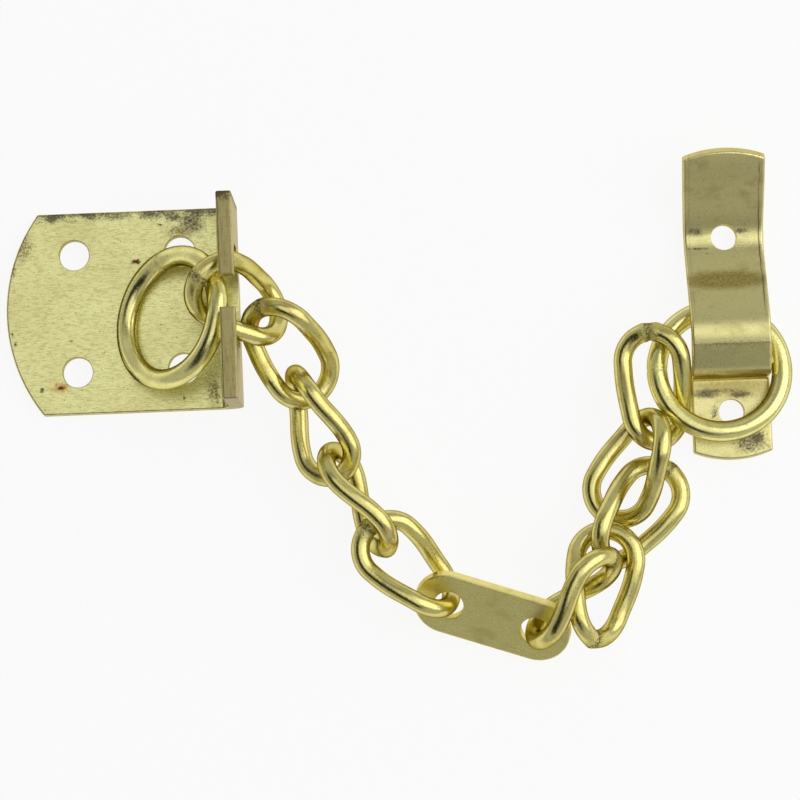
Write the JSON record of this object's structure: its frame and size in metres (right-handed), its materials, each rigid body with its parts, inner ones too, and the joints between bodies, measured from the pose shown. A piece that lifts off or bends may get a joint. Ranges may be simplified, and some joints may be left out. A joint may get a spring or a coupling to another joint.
{
  "type": "door security chain",
  "caption": "Door security chain: bent plate bracket with a slotted flange, twisted links with a blank tag plate, a ring at each end and a bent strap for the frame.",
  "frame": {"origin": "middle of the bracket's four screw holes, on the bracket's back face", "axes": "+Z out of the bracket's back face towards the viewer of the picture, +X from the bracket along the laid-out chain to the strap, +Y up the bracket's plate"},
  "size_m": [0.1548, 0.0991, 0.0285],
  "materials": {
    "plated_sheet": "thin bright brass plate over steel sheet, lightly grained",
    "plated_wire": "thin bright brass plate over steel wire"
  },
  "bodies": {
    "door_bracket": {"door_bracket": "plated_sheet"},
    "end_ring": {"end_ring": "plated_wire"},
    "link_1": {"link_1": "plated_wire"},
    "link_2": {"link_2": "plated_wire"},
    "link_3": {"link_3": "plated_wire"},
    "link_4": {"link_4": "plated_wire"},
    "link_5": {"link_5": "plated_wire"},
    "tag": {"tag": "plated_sheet"},
    "link_6": {"link_6": "plated_wire"},
    "link_7": {"link_7": "plated_wire"},
    "link_8": {"link_8": "plated_wire"},
    "link_9": {"link_9": "plated_wire"},
    "link_10": {"link_10": "plated_wire"},
    "strap_ring": {"strap_ring": "plated_wire"},
    "frame_strap": {"frame_strap": "plated_sheet"}
  },
  "joints": [
    {"name": "link_1_rock", "type": "hinge", "parent": "door_bracket", "child": "link_1", "pos_m": [0.0207, 0.0008, 0.0171], "axis": [1, 0, 0], "range_deg": [-15, 5]},
    {"name": "end_ring_swing", "type": "hinge", "parent": "link_1", "child": "end_ring", "pos_m": [0.01849, -0.0016, 0.0217], "axis": [0.3301, -0.6113, 0.7193], "range_deg": [-80, 0]},
    {"name": "link_2_swing", "type": "hinge", "parent": "link_1", "child": "link_2", "pos_m": [0.02782, -0.00669, 0.01244], "axis": [0.5918, 0.2496, -0.7665], "range_deg": [-39, 26]},
    {"name": "link_3_swing", "type": "hinge", "parent": "link_2", "child": "link_3", "pos_m": [0.03453, -0.01912, 0.00607], "axis": [0.9163, 0.1948, -0.35], "range_deg": [-75, 90]},
    {"name": "link_4_swing", "type": "hinge", "parent": "link_3", "child": "link_4", "pos_m": [0.03938, -0.02949, 0.00753], "axis": [-0.455, -0.0641, 0.8882], "range_deg": [-80, 80]},
    {"name": "link_5_swing", "type": "hinge", "parent": "link_4", "child": "link_5", "pos_m": [0.04818, -0.04363, 0.00955], "axis": [-0.9458, -0.2902, 0.1459], "range_deg": [-48, 80]},
    {"name": "tag_swing", "type": "hinge", "parent": "link_5", "child": "tag", "pos_m": [0.06108, -0.06006, 0.0061], "axis": [0.3508, 0.5548, -0.7544], "range_deg": [-90, 150]},
    {"name": "link_6_swing", "type": "hinge", "parent": "tag", "child": "link_6", "pos_m": [0.07771, -0.06579, 0.00671], "axis": [-0.196, -0.4772, 0.8566], "range_deg": [-130, 65]},
    {"name": "link_7_swing", "type": "hinge", "parent": "link_6", "child": "link_7", "pos_m": [0.08784, -0.05936, 0.00655], "axis": [-0.2221, -0.2341, -0.9465], "range_deg": [-70, 3]},
    {"name": "link_8_swing", "type": "hinge", "parent": "link_7", "child": "link_8", "pos_m": [0.09772, -0.05148, 0.00663], "axis": [0.4518, -0.7026, 0.5497], "range_deg": [-60, 4]},
    {"name": "link_9_swing", "type": "hinge", "parent": "link_8", "child": "link_9", "pos_m": [0.09604, -0.03853, 0.00498], "axis": [-0.3251, -0.6639, 0.6735], "range_deg": [-15, 90]},
    {"name": "link_10_swing", "type": "hinge", "parent": "link_9", "child": "link_10", "pos_m": [0.10164, -0.02512, 0.00581], "axis": [-0.5719, -0.005, -0.8203], "range_deg": [-90, 18]},
    {"name": "strap_ring_swing", "type": "hinge", "parent": "link_10", "child": "strap_ring", "pos_m": [0.10562, -0.01037, 0.0035], "axis": [-0.7208, -0.5778, 0.3829], "range_deg": [-2, 54]},
    {"name": "frame_strap_swing", "type": "hinge", "parent": "strap_ring", "child": "frame_strap", "pos_m": [0.11848, -0.0095, 0.00175], "axis": [1, 0, 0], "range_deg": [-2, 105]}
  ]
}
